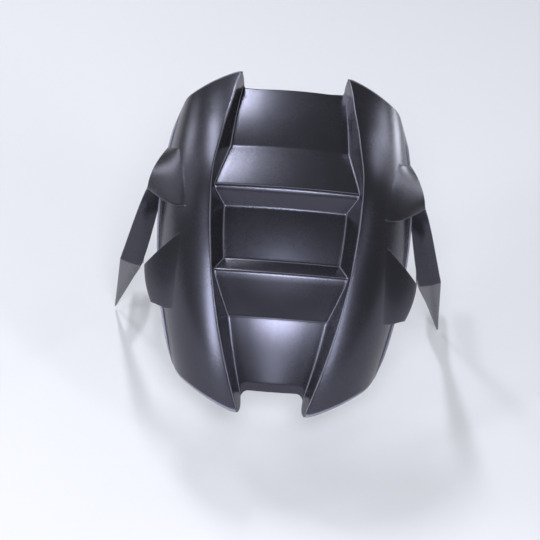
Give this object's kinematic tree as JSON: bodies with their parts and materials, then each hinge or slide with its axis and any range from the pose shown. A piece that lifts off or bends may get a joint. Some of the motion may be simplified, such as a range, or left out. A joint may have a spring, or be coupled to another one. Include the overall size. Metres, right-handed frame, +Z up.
{
  "type": "rear hugger mudguard",
  "caption": "One-piece moulded rear hugger mudguard with two ridges, a stepped centre channel, a side arm and a lower ear on each side, and flat screw tabs for the swingarm.",
  "frame": {"origin": "middle of the four tab screw holes, in the plane of the tabs' undersides where they sit on the swingarm", "axes": "+X to the motorcycle's right, +Y forward, +Z up; the wheel axle is parallel to X at Y = 25 mm, Z = -95 mm"},
  "size_m": [0.3198, 0.3113, 0.2808],
  "materials": {
    "shell_plastic": "satin black moulded plastic"
  },
  "bodies": {
    "root": {"mudguard_shell": "shell_plastic"}
  },
  "joints": []
}
